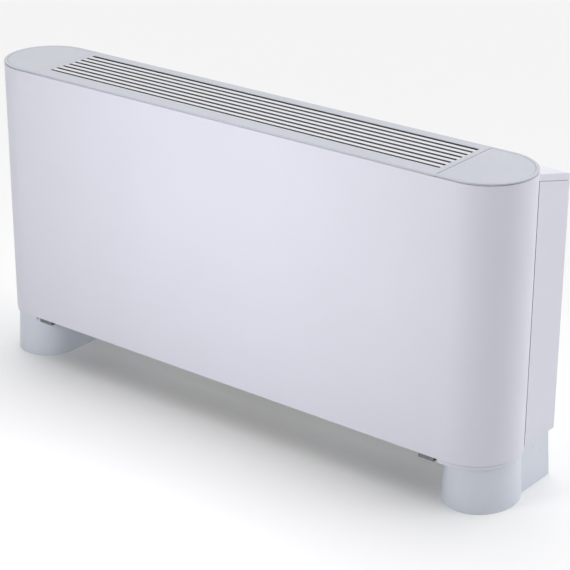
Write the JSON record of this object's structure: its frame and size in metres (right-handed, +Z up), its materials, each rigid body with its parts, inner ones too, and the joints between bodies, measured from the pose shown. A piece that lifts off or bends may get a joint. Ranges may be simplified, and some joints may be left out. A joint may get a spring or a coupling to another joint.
{
  "type": "fan convector heater",
  "caption": "Floor-standing fan convector heater: long cabinet with round ends, louvred top, hinged end flaps, water coil, centrifugal fans, sliding filter and hollow feet.",
  "frame": {"origin": "on the floor, under the middle of the overall box", "axes": "+X along the heater to its right end, +Y back to the wall, +Z up"},
  "size_m": [1.1, 0.225, 0.568],
  "materials": {
    "painted_steel": "satin powder coat, pale lavender white",
    "grey_plastic": "fine-grained light grey",
    "foot_plastic": "smooth blue-grey, soft sheen",
    "louvre_aluminium": "light satin, bright edges",
    "galvanised": "zinc spangle",
    "zinc_steel": "bright zinc",
    "latch_steel": "dull pressed steel",
    "bright_steel": "ground",
    "cast_aluminium": "cast",
    "aluminium_fin": "thin bright fins",
    "copper": "dull copper",
    "brass": "machined brass",
    "rubber": "matt black",
    "foam": "dark open-cell foam",
    "net_plastic": "extruded net, dull",
    "black_plastic": "fine grain",
    "white_plastic": "fine grain"
  },
  "bodies": {
    "cabinet": {"front_cover": "painted_steel", "rear_lid": "painted_steel", "rear_side_left": "painted_steel", "rear_side_right": "painted_steel", "grille_frame": "grey_plastic", "louvres": "louvre_aluminium", "louvre_ribs": "black_plastic", "end_cap_left": "grey_plastic", "end_cap_right": "grey_plastic", "base_cap_left": "grey_plastic", "base_cap_right": "grey_plastic", "foot_left": "foot_plastic", "foot_right": "foot_plastic", "foot_screws": "zinc_steel", "front_rail": "galvanised", "rear_rail": "galvanised", "side_plate_left": "galvanised", "side_plate_right": "galvanised", "back_plate": "galvanised", "cable_grommet": "rubber", "fan_deck": "galvanised", "fan_housing_left": "galvanised", "fan_housing_right": "galvanised", "motor_housing": "cast_aluminium", "motor_stator": "bright_steel", "stator_windings": "copper", "shaft_bearings": "bright_steel", "motor_rubber_rings": "rubber", "motor_brackets": "galvanised", "coil_fins": "aluminium_fin", "coil_tubes": "copper", "coil_end_plates": "galvanised", "supply_header": "brass", "return_header": "brass", "drain_pan": "galvanised", "drain_spout": "black_plastic", "filter_rails": "galvanised", "latch_screws": "zinc_steel", "control_box": "black_plastic", "control_plate": "black_plastic", "control_switches": "white_plastic", "terminal_block": "white_plastic", "run_capacitor": "white_plastic", "wiring_loom": "rubber", "front_insulation": "foam", "panel_screws": "zinc_steel"},
    "left_flap": {"flap_left": "grey_plastic"},
    "right_flap": {"flap_right": "grey_plastic"},
    "filter": {"filter_frame": "black_plastic", "filter_net": "net_plastic"},
    "left_latch": {"latch_left": "latch_steel"},
    "right_latch": {"latch_right": "latch_steel"},
    "fan_rotor": {"fan_shaft": "bright_steel", "impeller_left": "black_plastic", "impeller_right": "black_plastic", "motor_rotor": "bright_steel"},
    "thermostat_dial": {"thermostat_knob": "white_plastic"},
    "speed_dial": {"speed_knob": "white_plastic"},
    "mode_switch": {"mode_rocker": "white_plastic"},
    "air_vent": {"air_vent_screw": "brass"}
  },
  "joints": [
    {"name": "left_flap_hinge", "type": "hinge", "parent": "cabinet", "child": "left_flap", "pos_m": [-0.429, -0.0295, 0.5665], "axis": [0, 1, 0], "range_deg": [0, 95]},
    {"name": "right_flap_hinge", "type": "hinge", "parent": "cabinet", "child": "right_flap", "pos_m": [0.429, -0.0295, 0.5665], "axis": [0, -1, 0], "range_deg": [0, 95]},
    {"name": "filter_slide", "type": "slide", "parent": "cabinet", "child": "filter", "axis": [0, -1, 0], "range_m": [0, 0.17]},
    {"name": "left_latch_turn", "type": "hinge", "parent": "cabinet", "child": "left_latch", "pos_m": [-0.436, -0.097, 0.0835], "axis": [0, 0, -1], "range_deg": [0, 90]},
    {"name": "right_latch_turn", "type": "hinge", "parent": "cabinet", "child": "right_latch", "pos_m": [0.436, -0.097, 0.0835], "axis": [0, 0, 1], "range_deg": [0, 90]},
    {"name": "fan_spin", "type": "hinge", "parent": "cabinet", "child": "fan_rotor", "pos_m": [0, 0.012, 0.172], "axis": [1, 0, 0], "continuous": true},
    {"name": "thermostat_turn", "type": "hinge", "parent": "cabinet", "child": "thermostat_dial", "pos_m": [-0.495, -0.0535, 0.547], "axis": [0, 0, -1], "range_deg": [-135, 135]},
    {"name": "speed_turn", "type": "hinge", "parent": "cabinet", "child": "speed_dial", "pos_m": [-0.495, -0.0055, 0.547], "axis": [0, 0, -1], "range_deg": [0, 135]},
    {"name": "mode_rock", "type": "hinge", "parent": "cabinet", "child": "mode_switch", "pos_m": [-0.458, -0.0295, 0.532], "axis": [0, 1, 0], "range_deg": [-10, 10]},
    {"name": "air_vent_turn", "type": "hinge", "parent": "cabinet", "child": "air_vent", "pos_m": [0.474, 0.01457, 0.4374], "axis": [1, 0, 0], "range_deg": [0, 180]}
  ]
}
